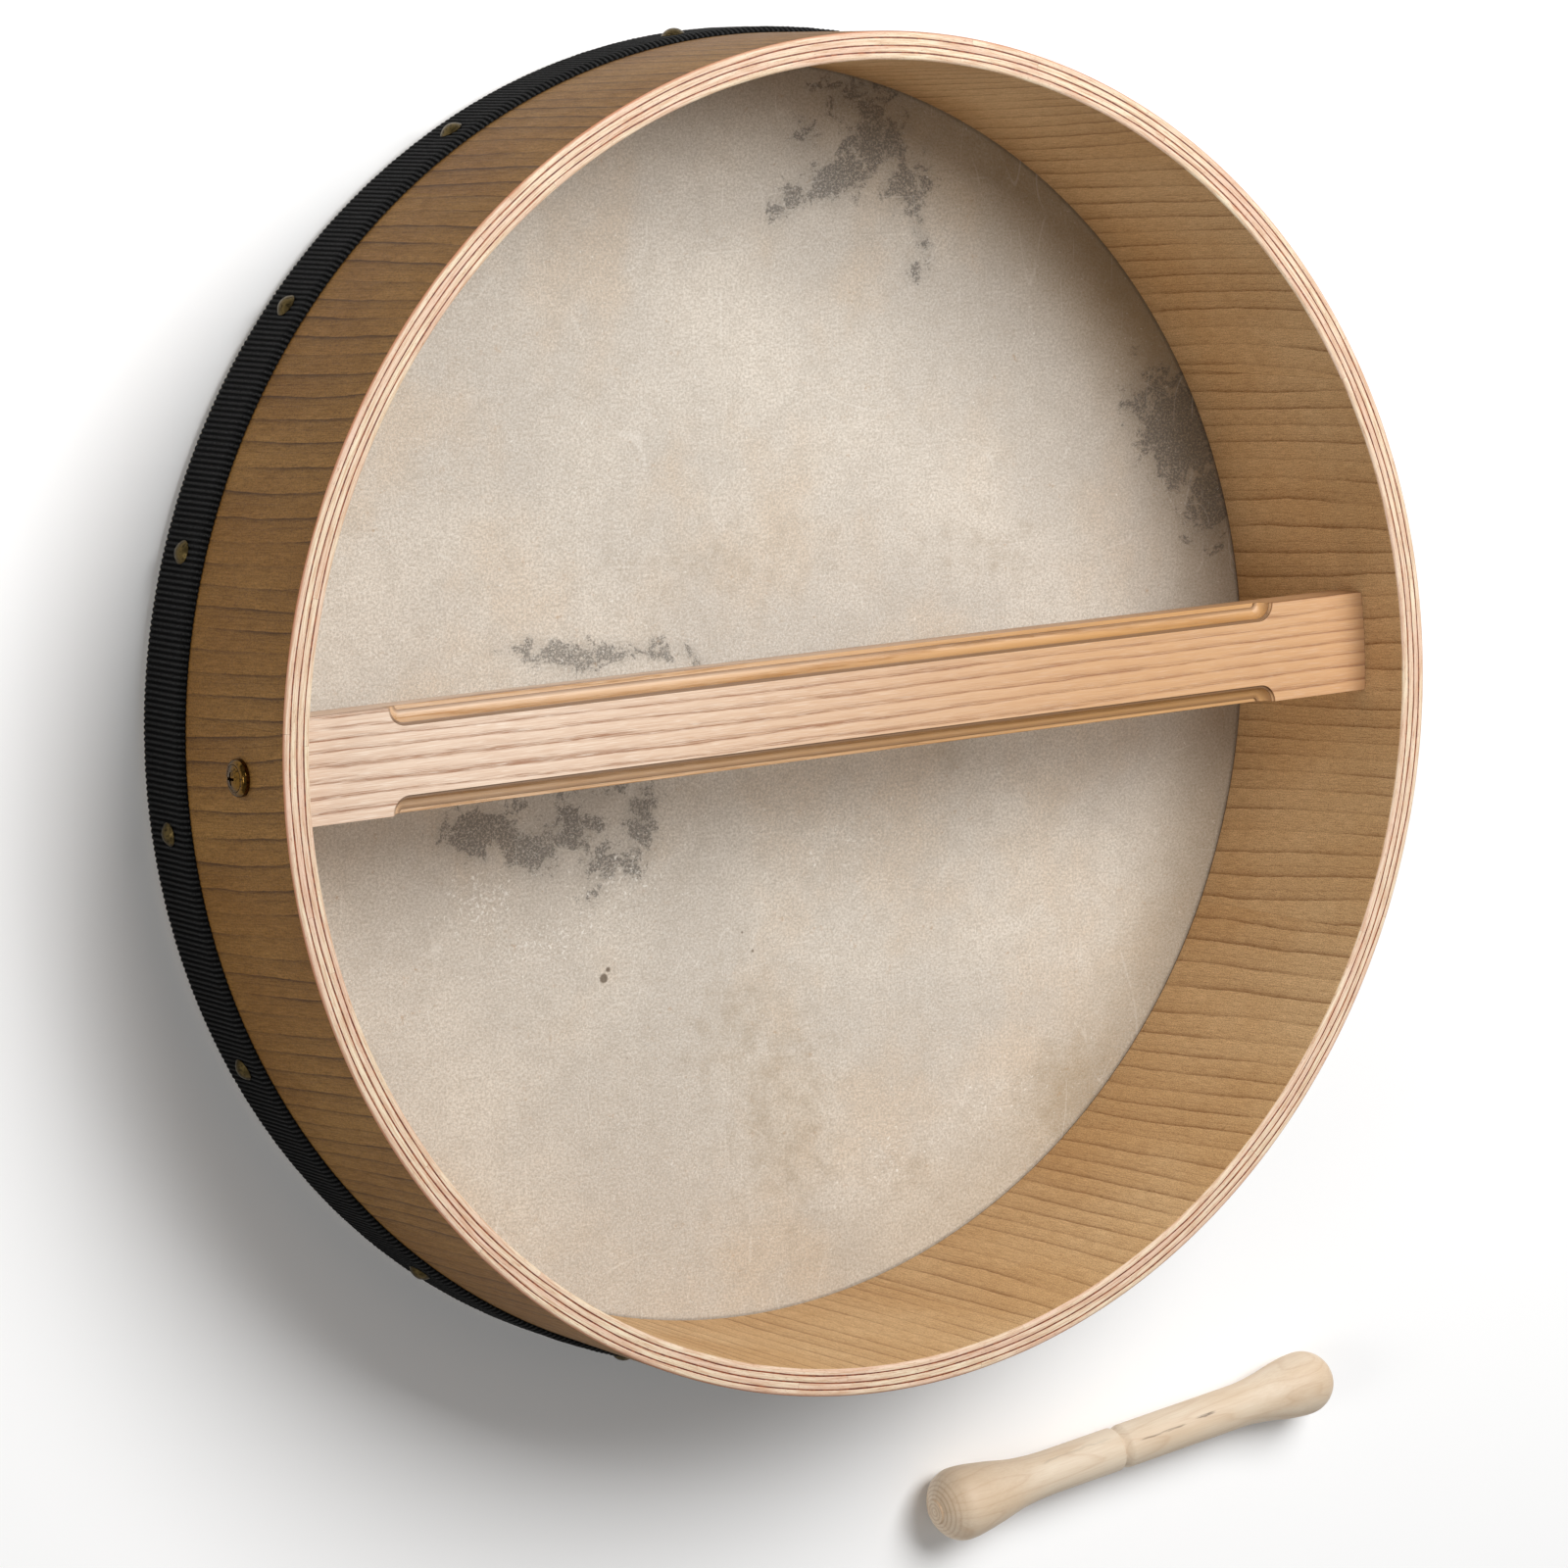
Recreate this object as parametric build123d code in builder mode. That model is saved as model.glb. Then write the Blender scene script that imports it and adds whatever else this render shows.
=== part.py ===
"""A bodhran, the Irish frame drum, with its double-ended tipper.

The drum lies on its skin. The origin is the centre of the playing face, +Z is the drum's axis,
towards the open rim, and +X runs along the crossbar. The tipper lies beside it on the same plane.
All sizes are in millimetres.
"""
import math
import os

from build123d import *

os.makedirs("parts", exist_ok=True)

# Hoop: an 18 inch shell, laminated from thin plies, each pieced from bent panels
SHELL_R = 228.5
DRUM_DEPTH = 96.0
PLY_T = 2.375
RIM_ROUND = 1.2
BUTT_GAP = 0.3
# Angles of the butt joints in each ply, outermost ply first; the joints are staggered
PLY_JOINTS = {
    "ply_outer": [30, 79, 127, 175, 223, 277, 336],
    "ply_second": [13, 72, 131, 190, 258, 311],
    "ply_third": [4, 57, 111, 164, 195, 214, 263, 311],
    "ply_inner": [27, 80, 123, 176, 229, 282, 334],
}
INNER_R = SHELL_R - PLY_T * len(PLY_JOINTS)

# Skin: a goat hide stretched over the front edge and turned up round the hoop
SKIN_T = 1.0
SKIN_R = SHELL_R + SKIN_T
COLLAR_TOP = 26.0

# Edge tape: a ribbed webbing strip wound once round the hoop over the hide's turned-up collar
TAPE_T = 1.1
TAPE_LOW = 2.5
TAPE_W = 27.0
TAPE_SEAM_ANGLE = 331
TAPE_SEAM_GAP = 0.3
TAPE_EDGE_R = 0.3

# Domed tacks, through the tape and the hide into the hoop
TACK_ANGLES = [6, 28, 51, 73, 96, 119, 140, 162, 185, 206, 231, 253, 276, 298, 321, 343]
TACK_Z = TAPE_LOW + TAPE_W / 2
TACK_HEAD_R = 4.0
TACK_HEAD_H = 2.2
TACK_SHANK_R = 0.8
TACK_SHANK_LEN = 7.5
TACK_POINT_LEN = 2.0

# Crossbar: the hand hold, a flat hardwood bar between the hoop's inner walls, a little off centre
BAR_Y = 3.5
BAR_W = 35.0
BAR_T = 15.0
BAR_FRONT_Z = 74.5
BAR_BACK_ROUND = 1.5
# Stopped moulding along its two front edges: a quirk, a narrow flat, a cove and a small step
MOULD_HALF_LEN = 172.0
MOULD_W = 6.2
QUIRK_DEPTH = 0.8
QUIRK_FLAT = 1.0
COVE_R = 3.8
STEP_DEPTH = 0.6
CUTTER_ABOVE = 1.0

# Screws through the hoop into the bar's ends, each in a turned cup washer
SCREW_Z = BAR_FRONT_Z - BAR_T / 2
SCREW_R = 2.1
SCREW_LEN = 36.0
SCREW_POINT_LEN = 5.0
SCREW_CLEARANCE_R = 2.3
SCREW_HEAD_R = 4.4
SCREW_DOME_H = 1.3
HEAD_EDGE_H = 0.2
RECESS_LEN = 4.4
RECESS_W = 1.0
RECESS_DEPTH = 1.6
RECESS_TAPER = 10
CUP_R = 6.2
CUP_BORE_R = 2.5
CUP_H = 2.6
CUP_LIP_R = 4.6
CUP_FOOT_H = 0.6
CUP_SHOULDER_IN = 0.4
CUP_SHOULDER_DROP = 0.5
SEAT_CLEARANCE = 0.05

# Tipper: turned in one piece, with a larger and a smaller head and a groove near the middle
HEAD_BIG_R = 13.4
HEAD_SMALL_R = 11.9
SHAFT_R = 8.1
HEAD_BIG_S = 11.0
HEAD_SPACING = 158.0
HEAD_SMALL_CAP = 12.0
NOSE_FLAT_R = 4.5
NOSE_ARC = 69
# Each flare's profile: distance from its head's widest point towards the shaft, and radius
BIG_FLARE = [(13, 11.7), (26, 9.1), (41, SHAFT_R)]
SMALL_FLARE = [(9, 11.1), (19, 9.2), (31, SHAFT_R)]
GROOVE_S = 82.0
GROOVE_DEPTH = 0.9
GROOVE_HALF_W = 3.0
# A point on each of the groove's rounded shoulders: distance from its middle, and depth
GROOVE_SHOULDER_S = 1.0
GROOVE_SHOULDER_DEPTH = 0.25
TIPPER_X = 72.2
TIPPER_Y = -299.2
TIPPER_HEADING = 6.3
TIPPER_DROP = math.degrees(math.asin((HEAD_BIG_R - HEAD_SMALL_R) / HEAD_SPACING))


def section_plane(angle):
    """Plane through the drum's axis at this angle: local x is the radius, local y the height."""
    a = math.radians(angle)
    return Plane(origin=(0, 0, 0), x_dir=(math.cos(a), math.sin(a), 0), z_dir=(math.sin(a), -math.cos(a), 0))


def wall_planes(angles, radius, height):
    """Planes on a cylinder about the drum's axis, each facing outwards."""
    planes = []
    for angle in angles:
        a = math.radians(angle)
        origin = (radius * math.cos(a), radius * math.sin(a), height)
        outwards = (math.cos(a), math.sin(a), 0)
        planes.append(Plane(origin=origin, x_dir=(-math.sin(a), math.cos(a), 0), z_dir=outwards))
    return planes


def drill_tack_holes():
    """Tack holes through whatever lies within the shanks' reach, in the part being built."""
    with Locations(*wall_planes(TACK_ANGLES, SKIN_R + TAPE_T, TACK_Z)):
        Cylinder(
            TACK_SHANK_R, TACK_SHANK_LEN, align=(Align.CENTER, Align.CENTER, Align.MAX), mode=Mode.SUBTRACT
        )


def screw_planes():
    """Planes on the hoop's outer wall at the bar's two ends, each facing outwards."""
    return [
        Plane(origin=(side * SHELL_R, BAR_Y, SCREW_Z), x_dir=(0, side, 0), z_dir=(side, 0, 0))
        for side in (-1, 1)
    ]


def drill_screw_holes(radius):
    """The two screw holes, straight in from the hoop's outer wall, in the part being built."""
    with Locations(*screw_planes()):
        Cylinder(radius, SCREW_LEN, align=(Align.CENTER, Align.CENTER, Align.MAX), mode=Mode.SUBTRACT)


# Hoop: one node for each ply, its panels separate solids that meet at butt joints
def make_ply(name, index):
    r_out = SHELL_R - index * PLY_T
    r_in = r_out - PLY_T
    joints = PLY_JOINTS[name]
    gap = math.degrees(BUTT_GAP / r_in)
    with BuildPart() as ply:
        for start, end in zip(joints, joints[1:] + [joints[0] + 360]):
            with BuildSketch(section_plane(start + gap / 2)) as section:
                with Locations((r_in, SKIN_T)):
                    Rectangle(PLY_T, DRUM_DEPTH - SKIN_T, align=(Align.MIN, Align.MIN))
                if name == "ply_outer":
                    fillet(section.vertices().group_by(Axis.X)[-1], RIM_ROUND)
                if name == "ply_inner":
                    fillet(section.vertices().group_by(Axis.X)[0], RIM_ROUND)
            revolve(axis=Axis.Z, revolution_arc=end - start - gap)
        if name != "ply_inner":
            drill_tack_holes()
        drill_screw_holes(SCREW_CLEARANCE_R)
    ply.part.label = name
    export_step(ply.part, "parts/" + name + ".step")


for ply_index, ply_name in enumerate(PLY_JOINTS):
    make_ply(ply_name, ply_index)

# Skin: a flat disc with a collar turned up round the hoop
with BuildPart() as drum_skin:
    with BuildSketch(Plane.XZ):
        with BuildLine():
            Line((0, 0), (SHELL_R - RIM_ROUND, 0))
            CenterArc((SHELL_R - RIM_ROUND, SKIN_T + RIM_ROUND), RIM_ROUND + SKIN_T, 270, 90)
            Polyline(
                (SKIN_R, SKIN_T + RIM_ROUND),
                (SKIN_R, COLLAR_TOP),
                (SHELL_R, COLLAR_TOP),
                (SHELL_R, SKIN_T + RIM_ROUND),
            )
            CenterArc((SHELL_R - RIM_ROUND, SKIN_T + RIM_ROUND), RIM_ROUND, 270, 90)
            Polyline((SHELL_R - RIM_ROUND, SKIN_T), (0, SKIN_T), (0, 0))
        make_face()
    revolve(axis=Axis.Z)
    drill_tack_holes()
drum_skin.part.label = "drum_skin"
export_step(drum_skin.part, "parts/drum_skin.step")

# Edge tape: one turn, its two ends butted
seam_arc = math.degrees(TAPE_SEAM_GAP / SKIN_R)
with BuildPart() as edge_tape:
    with BuildSketch(section_plane(TAPE_SEAM_ANGLE)) as tape_section:
        with Locations((SKIN_R, TAPE_LOW)):
            Rectangle(TAPE_T, TAPE_W, align=(Align.MIN, Align.MIN))
        fillet(tape_section.vertices().group_by(Axis.X)[-1], TAPE_EDGE_R)
    revolve(axis=Axis.Z, revolution_arc=360 - seam_arc)
    drill_tack_holes()
edge_tape.part.label = "edge_tape"
export_step(edge_tape.part, "parts/edge_tape.step")

# Tacks: a domed head on a pointed shank, repeated round the hoop
tack_dome_r = (TACK_HEAD_R**2 + TACK_HEAD_H**2) / (2 * TACK_HEAD_H)
tack_dome_angle = math.degrees(math.asin(TACK_HEAD_R / tack_dome_r))
with BuildPart() as tack:
    with BuildSketch(Plane.XZ):
        with BuildLine():
            Polyline(
                (0, TACK_HEAD_H),
                (0, -TACK_SHANK_LEN),
                (TACK_SHANK_R, -TACK_SHANK_LEN + TACK_POINT_LEN),
                (TACK_SHANK_R, 0),
                (TACK_HEAD_R, 0),
            )
            CenterArc((0, TACK_HEAD_H - tack_dome_r), tack_dome_r, 90 - tack_dome_angle, tack_dome_angle)
        make_face()
    revolve(axis=Axis.Z)

with BuildPart() as tacks:
    with Locations(*wall_planes(TACK_ANGLES, SKIN_R + TAPE_T, TACK_Z)):
        add(tack.part)
tacks.part.label = "tacks"
export_step(tacks.part, "parts/tacks.step")


# Moulding cutter's half section: local x is the radius, local y the height over the bar's face
flat_x = MOULD_W - QUIRK_FLAT
cove_x = flat_x - COVE_R
cove_low = -QUIRK_DEPTH - COVE_R
with BuildSketch() as cutter_section:
    with BuildLine():
        Polyline((0, CUTTER_ABOVE), (MOULD_W, CUTTER_ABOVE), (MOULD_W, -QUIRK_DEPTH), (flat_x, -QUIRK_DEPTH))
        CenterArc((cove_x, -QUIRK_DEPTH), COVE_R, 270, 90)
        Polyline(
            (cove_x, cove_low),
            (cove_x, cove_low - STEP_DEPTH),
            (0, cove_low - STEP_DEPTH),
            (0, CUTTER_ABOVE),
        )
    make_face()


def cutter_plane(x):
    """Plane across the bar's front edge at this x: local x runs in from the side, local y is up."""
    return Plane(origin=(x, BAR_Y + BAR_W / 2, BAR_FRONT_Z), x_dir=(0, -1, 0), z_dir=(-1, 0, 0))


# The cut runs between its stops, and ends in the cutter's own round
with BuildPart() as moulding_cut:
    for x in (-MOULD_HALF_LEN, MOULD_HALF_LEN):
        with BuildSketch(cutter_plane(x)):
            add(cutter_section.sketch)
        revolve(axis=Axis(cutter_plane(x).origin, (0, 0, 1)))
    with BuildSketch(cutter_plane(0)):
        add(cutter_section.sketch)
    extrude(amount=MOULD_HALF_LEN, both=True)
    mirror(about=Plane.XZ.offset(-BAR_Y))

# Crossbar: its ends are curved to the hoop's inner wall
with BuildPart() as crossbar:
    with BuildSketch(Plane.XY.offset(BAR_FRONT_Z - BAR_T)):
        Circle(INNER_R)
        with Locations((0, BAR_Y)):
            Rectangle(2 * INNER_R, BAR_W, mode=Mode.INTERSECT)
    extrude(amount=BAR_T)
    fillet(crossbar.edges().filter_by(Axis.X).group_by(Axis.Z)[0], BAR_BACK_ROUND)
    add(moulding_cut.part, mode=Mode.SUBTRACT)
    drill_screw_holes(SCREW_R)
crossbar.part.label = "crossbar"
export_step(crossbar.part, "parts/crossbar.step")

# Screws: raised countersunk heads with a cross recess
head_rim_z = SCREW_HEAD_R - CUP_BORE_R + CUP_H - (CUP_LIP_R - CUP_BORE_R) + SEAT_CLEARANCE
neck_z = head_rim_z - (SCREW_HEAD_R - SCREW_R)
dome_top_z = head_rim_z + HEAD_EDGE_H + SCREW_DOME_H
screw_dome_r = (SCREW_HEAD_R**2 + SCREW_DOME_H**2) / (2 * SCREW_DOME_H)
screw_dome_angle = math.degrees(math.asin(SCREW_HEAD_R / screw_dome_r))
with BuildPart() as screw:
    with BuildSketch(Plane.XZ):
        with BuildLine():
            Polyline(
                (0, dome_top_z),
                (0, -SCREW_LEN),
                (SCREW_R, -SCREW_LEN + SCREW_POINT_LEN),
                (SCREW_R, neck_z),
                (SCREW_HEAD_R, head_rim_z),
                (SCREW_HEAD_R, head_rim_z + HEAD_EDGE_H),
            )
            CenterArc((0, dome_top_z - screw_dome_r), screw_dome_r, 90 - screw_dome_angle, screw_dome_angle)
        make_face()
    revolve(axis=Axis.Z)
    with BuildSketch(Plane.XY.offset(dome_top_z)):
        Rectangle(RECESS_LEN, RECESS_W)
        Rectangle(RECESS_W, RECESS_LEN)
    extrude(amount=-RECESS_DEPTH, mode=Mode.SUBTRACT, taper=RECESS_TAPER)

with BuildPart() as bar_screws:
    with Locations(*screw_planes()):
        add(screw.part)
bar_screws.part.label = "bar_screws"
export_step(bar_screws.part, "parts/bar_screws.step")

# Cup washers: turned brass, with a conical seat for the screw's head
with BuildPart() as cup:
    with BuildSketch(Plane.XZ):
        with BuildLine():
            Polyline(
                (CUP_LIP_R, CUP_H),
                (CUP_BORE_R, CUP_H - (CUP_LIP_R - CUP_BORE_R)),
                (CUP_BORE_R, 0),
                (CUP_R, 0),
                (CUP_R, CUP_FOOT_H),
            )
            ThreePointArc(
                (CUP_R, CUP_FOOT_H),
                (CUP_R - CUP_SHOULDER_IN, CUP_H - CUP_SHOULDER_DROP),
                (CUP_LIP_R, CUP_H),
            )
        make_face()
    revolve(axis=Axis.Z)

with BuildPart() as cup_washers:
    with Locations(*screw_planes()):
        add(cup.part)
cup_washers.part.label = "cup_washers"
export_step(cup_washers.part, "parts/cup_washers.step")

# Tipper: its axis drops from the big head to the small one, so that both heads rest on the plane
heading = math.radians(TIPPER_HEADING)
drop = math.radians(TIPPER_DROP)
tipper_dir = Vector(
    math.cos(drop) * math.cos(heading), math.cos(drop) * math.sin(heading), -math.sin(drop)
)
tipper_end = Vector(TIPPER_X, TIPPER_Y, HEAD_BIG_R) - tipper_dir * HEAD_BIG_S
tipper_side = tipper_dir.cross(Vector(0, 0, 1)).normalized()
small_s = HEAD_BIG_S + HEAD_SPACING
with BuildPart() as tipper:
    with BuildSketch(Plane(origin=tipper_end, x_dir=tipper_dir, z_dir=tipper_side)):
        with BuildLine():
            cap = EllipticalCenterArc((HEAD_BIG_S, 0), HEAD_BIG_S, HEAD_BIG_R, 90, arc_size=NOSE_ARC)
            Polyline(cap @ 1, (0, NOSE_FLAT_R), (0, 0))
            big_flare = Spline(
                cap @ 0, *[(HEAD_BIG_S + s, r) for s, r in BIG_FLARE], tangents=((1, 0), (1, 0))
            )
            groove_start = (GROOVE_S - GROOVE_HALF_W, SHAFT_R)
            groove_low = (GROOVE_S, SHAFT_R - GROOVE_DEPTH)
            groove_end = (GROOVE_S + GROOVE_HALF_W, SHAFT_R)
            shoulder_r = SHAFT_R - GROOVE_SHOULDER_DEPTH
            Line(big_flare @ 1, groove_start)
            ThreePointArc(groove_start, (GROOVE_S - GROOVE_SHOULDER_S, shoulder_r), groove_low)
            ThreePointArc(groove_low, (GROOVE_S + GROOVE_SHOULDER_S, shoulder_r), groove_end)
            small_flare = Spline(
                *[(small_s - s, r) for s, r in reversed(SMALL_FLARE)],
                (small_s, HEAD_SMALL_R),
                tangents=((1, 0), (1, 0)),
            )
            Line(groove_end, small_flare @ 0)
            EllipticalCenterArc((small_s, 0), HEAD_SMALL_CAP, HEAD_SMALL_R, 0, arc_size=90)
            Line((small_s + HEAD_SMALL_CAP, 0), (0, 0))
        make_face()
    revolve(axis=Axis(tipper_end, tipper_dir))
tipper.part.label = "tipper"
export_step(tipper.part, "parts/tipper.step")
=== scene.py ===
"""Looks for a bodhran, the Irish frame drum, and its tipper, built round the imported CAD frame.

Everything is in metres in the frame's own axes: the drum lies on its hide, +Z is its axis,
towards the open rim, and +X runs along the crossbar. Grain coordinates are in millimetres.
"""
import math
import random

import bmesh
import bpy
import numpy as np
from mathutils import Matrix, Vector, noise


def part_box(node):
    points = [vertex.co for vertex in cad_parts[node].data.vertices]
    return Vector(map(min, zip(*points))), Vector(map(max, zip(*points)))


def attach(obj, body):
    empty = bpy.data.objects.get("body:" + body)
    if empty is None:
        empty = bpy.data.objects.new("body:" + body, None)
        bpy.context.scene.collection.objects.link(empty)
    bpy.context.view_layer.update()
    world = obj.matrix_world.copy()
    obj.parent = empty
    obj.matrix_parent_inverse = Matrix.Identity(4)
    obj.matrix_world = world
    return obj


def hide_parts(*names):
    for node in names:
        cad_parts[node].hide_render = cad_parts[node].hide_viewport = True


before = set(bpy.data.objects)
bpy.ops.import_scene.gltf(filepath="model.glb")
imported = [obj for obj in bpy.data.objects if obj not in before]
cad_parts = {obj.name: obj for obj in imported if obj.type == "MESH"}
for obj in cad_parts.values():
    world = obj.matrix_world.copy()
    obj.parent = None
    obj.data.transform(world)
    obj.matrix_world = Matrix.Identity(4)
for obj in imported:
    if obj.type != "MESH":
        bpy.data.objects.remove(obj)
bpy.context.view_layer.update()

MM = 0.001
random.seed(18)

# Hoop
PLY_JOINTS = {
    "ply_outer": [30, 79, 127, 175, 223, 277, 336],
    "ply_second": [13, 72, 131, 190, 258, 311],
    "ply_third": [4, 57, 111, 164, 195, 214, 263, 311],
    "ply_inner": [27, 80, 123, 176, 229, 282, 334],
}
# How far the grain of a veneer leans off the drum's axis, and how much each panel differs. Part of
# the lean may be the camera fit's error, since the webbing's ribs seem to lean by about 0.035.
GRAIN_LEAN = {"ply_outer": 0.08, "ply_inner": -0.07}
LEAN_SPREAD = 0.05
BUTT_GAP = 0.06 * MM
RIM_ROUND = 1.2 * MM
EASED = 0.12 * MM
GLUE_T = 0.46 * MM
GLUE_WANDER = 0.30 * MM
GLUE_RECESS = 0.10 * MM
RIM_UNEVEN = 0.06 * MM
ROUND_STEPS = 4
PLY_STEP = math.radians(0.8)
# The rim's outer edge is stained from this far in, fading over the second distance
STAIN_IN = 0.8 * MM
STAIN_FADE = 0.6 * MM

# Darkness of the wood from one growth ring to the next
RING_PROFILE = [
    (0.0, 0.5), (0.02, 1.0), (0.07, 0.70), (0.16, 0.30), (0.40, 0.10), (0.43, 0.40), (0.50, 0.12),
    (0.98, 0.0), (1.0, 0.5),
]

# Hide
SKIN_T = 1.0 * MM
# Small solid spots: place and radius, in millimetres
SPOTS = [(-59, -92, 1.5), (-57, -89, 0.8), (-2, -83, 0.5), (2, -90, 0.4), (-51, -121, 0.3)]
# Hairline veins and scratches: half width of the contour, its scales in x and y, and a seed
SCRATCHES = [
    (0.004, (0.030, 0.007), 11.0),
    (0.003, (0.009, 0.026), 23.0),
    (0.006, (0.055, 0.020), 37.0),
]
# Rings of vertices on the hide's inner side and on its playing face
SKIN_ROWS = 84
FACE_ROWS = 60
SKIN_COLUMNS = 400

# Edge tape. RIB_SHAPE is the height of each column of one rib, as a share of RIB_H.
TAPE_T = 1.1 * MM
RIB_COUNT = 712
RIB_H = 0.50 * MM
RIB_SHAPE = (0.0, 0.75, 1.0, 0.75)
# How far the edges dip between ribs, at the top and the bottom, and are thinned towards the selvages
TOP_DIP = 0.35 * MM
BOTTOM_DIP = 0.20 * MM
SELVAGE_DROP = 0.45 * MM
TAPE_CLEAR = 0.02 * MM
# How far the tape is pulled in: past the collar's end, and round a tack
COLLAR_PULL = SKIN_T - 0.15 * MM
TACK_PULL = 0.30 * MM
TACK_PULL_REACH = 6.5 * MM
TAPE_ROWS = 16
TAPE_SEAM_ANGLE = 331
SEAM_GAP = 0.10 * MM
TACK_ANGLES = [6, 28, 51, 73, 96, 119, 140, 162, 185, 206, 231, 253, 276, 298, 321, 343]
TACK_HEAD_R = 4.0 * MM
TACK_HEAD_H = 2.2 * MM
TACK_LIP = 0.35 * MM
# How far a head is seated in the tape, and how far its closed underside goes below that
TACK_SEAT = 0.25 * MM
TACK_SUNK = 0.6 * MM
TACK_LEAN = math.radians(2)

# Crossbar
BACK_ROUND = 1.5 * MM
MOULD_HALF_LEN = 172 * MM
MOULD_W = 6.2 * MM
QUIRK_DEPTH = 0.8 * MM
QUIRK_FLAT = 1.0 * MM
COVE_R = 3.8 * MM
STEP_DEPTH = 0.6 * MM
ARRIS = 0.22 * MM
# Across one growth ring of the bar: how dark its line is, and how full of dark dashes
BAR_LINE = [(0.0, 0.2), (0.05, 1.0), (0.14, 0.55), (0.3, 0.2), (0.92, 0.0), (1.0, 0.2)]
BAR_BAND = [(0.0, 0.5), (0.05, 1.0), (0.22, 0.75), (0.42, 0.2), (0.9, 0.05), (1.0, 0.5)]

# Screws and cup washers
WORN_EDGE = 0.10 * MM

# Tipper, in millimetres: R is a radius and S a distance along it from the big end
HEAD_BIG_R = 13.4
HEAD_SMALL_R = 11.9
SHAFT_R = 8.1
HEAD_BIG_S = 11.0
HEAD_SPACING = 158.0
HEAD_SMALL_CAP = 12.0
NOSE_FLAT_R = 4.5
NOSE_ARC = 69
BIG_FLARE = [(13, 11.7), (26, 9.1), (41, SHAFT_R)]
SMALL_FLARE = [(31, SHAFT_R), (19, 9.2), (9, 11.1)]
GROOVE_S = 81.0
GROOVE_EASE = 1.0
GROOVE_RISE = 4.2
GROOVE_DEPTH = 1.45
GROOVE_WALL = 0.2
# Rings the tool left on the big end, in radians per millimetre
TOOL_MARKS = 4.2
# Dark streaks on the tipper: from and to along it, place across its top, half width, strength
STREAKS = [(89, 108, -1.9, 0.40, 0.6), (115, 122, -2.8, 0.55, 1.0), (46, 76, -5.2, 0.35, 0.18)]
TIPPER_AT = Vector((72.2, -299.2, HEAD_BIG_R))
TIPPER_HEADING = math.radians(6.3)
TIPPER_DROP = math.asin((HEAD_BIG_R - HEAD_SMALL_R) / HEAD_SPACING)


# ---------------------------------------------------------------- places read from the frame

def reach(node):
    """Smallest and largest distance of a CAD node's vertices from the drum's axis."""
    away = [v.co.xy.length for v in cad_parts[node].data.vertices]
    return min(away), max(away)


SHELL_R = reach("ply_outer")[1]
INNER_R = reach("ply_inner")[0]
RIM_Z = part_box("ply_outer")[1].z
COLLAR_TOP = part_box("drum_skin")[1].z
TAPE_LOW, TAPE_HIGH = (corner.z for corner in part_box("edge_tape"))
TACK_Z = (TAPE_LOW + TAPE_HIGH) / 2
BAR_LOW, BAR_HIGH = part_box("crossbar")
SKIN_R = SHELL_R + SKIN_T
# Radius of the hide that shows inside the hoop, in millimetres for its material
HIDE_SEEN_R = INNER_R / MM


# ---------------------------------------------------------------- mesh helpers

def wander(x, y, z=0.0):
    """Smooth noise from about -1 to 1 at a place given in steps of its own wavelength."""
    return noise.noise(Vector((x, y, z)))


def wander_round(angle, wavelength, seed, radius=SHELL_R):
    """Smooth noise that closes on itself round the hoop."""
    turn = radius / wavelength
    return wander(turn * math.cos(angle), turn * math.sin(angle), seed)


def eased(t):
    """0 below 0, 1 above 1 and a smooth step between."""
    t = min(1.0, max(0.0, t))
    return t * t * (3 - 2 * t)


def piece(name, points, faces, body, replaces=(), materials=(), sharp=35):
    """A closed mesh that rides on a CAD body, shaded smooth except at its sharp edges."""
    mesh = bpy.data.meshes.new(name)
    mesh.from_pydata([tuple(p) for p in points], [], faces)
    bm = bmesh.new()
    bm.from_mesh(mesh)
    bmesh.ops.remove_doubles(bm, verts=bm.verts, dist=1e-7)
    bmesh.ops.dissolve_degenerate(bm, edges=bm.edges, dist=1e-7)
    bmesh.ops.recalc_face_normals(bm, faces=bm.faces)
    for face in bm.faces:
        face.smooth = True
    for edge in bm.edges:
        edge.smooth = len(edge.link_faces) == 2 and edge.calc_face_angle(0) < math.radians(sharp)
    bm.to_mesh(mesh)
    bm.free()
    obj = bpy.data.objects.new(name, mesh)
    bpy.context.scene.collection.objects.link(obj)
    for material in materials:
        mesh.materials.append(material)
    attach(obj, body)
    if replaces:
        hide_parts(*replaces)
    return obj


def soften_edges(obj, name, width, sharper_than):
    """A bevel on the edges that turn by more than this many degrees."""
    bevel = obj.modifiers.new(name, "BEVEL")
    bevel.width = width
    bevel.segments = 2
    bevel.limit_method = "ANGLE"
    bevel.angle_limit = math.radians(sharper_than)
    bevel.harden_normals = True


def per_vertex(obj, name, values, kind="FLOAT"):
    """Stores one number or vector for each vertex, for the materials to read."""
    attribute = obj.data.attributes.new(name, kind, "POINT")
    key = "vector" if kind == "FLOAT_VECTOR" else "value"
    attribute.data.foreach_set(key, np.array(values, np.float32).ravel())


def ring(angles, sections, closed):
    """A closed section of (radius, height) points at each angle, joined round the drum's axis."""
    count, size = len(angles), len(sections[0])
    points = [
        (r * math.cos(a), r * math.sin(a), z)
        for a, section in zip(angles, sections)
        for r, z in section
    ]
    faces = []
    for i in range(count if closed else count - 1):
        here, there = i * size, (i + 1) % count * size
        for k in range(size):
            m = (k + 1) % size
            faces.append((here + k, there + k, there + m, here + m))
    if not closed:
        faces.append(tuple(range(size)))
        faces.append(tuple(range((count - 1) * size, count * size)))
    return points, faces


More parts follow.
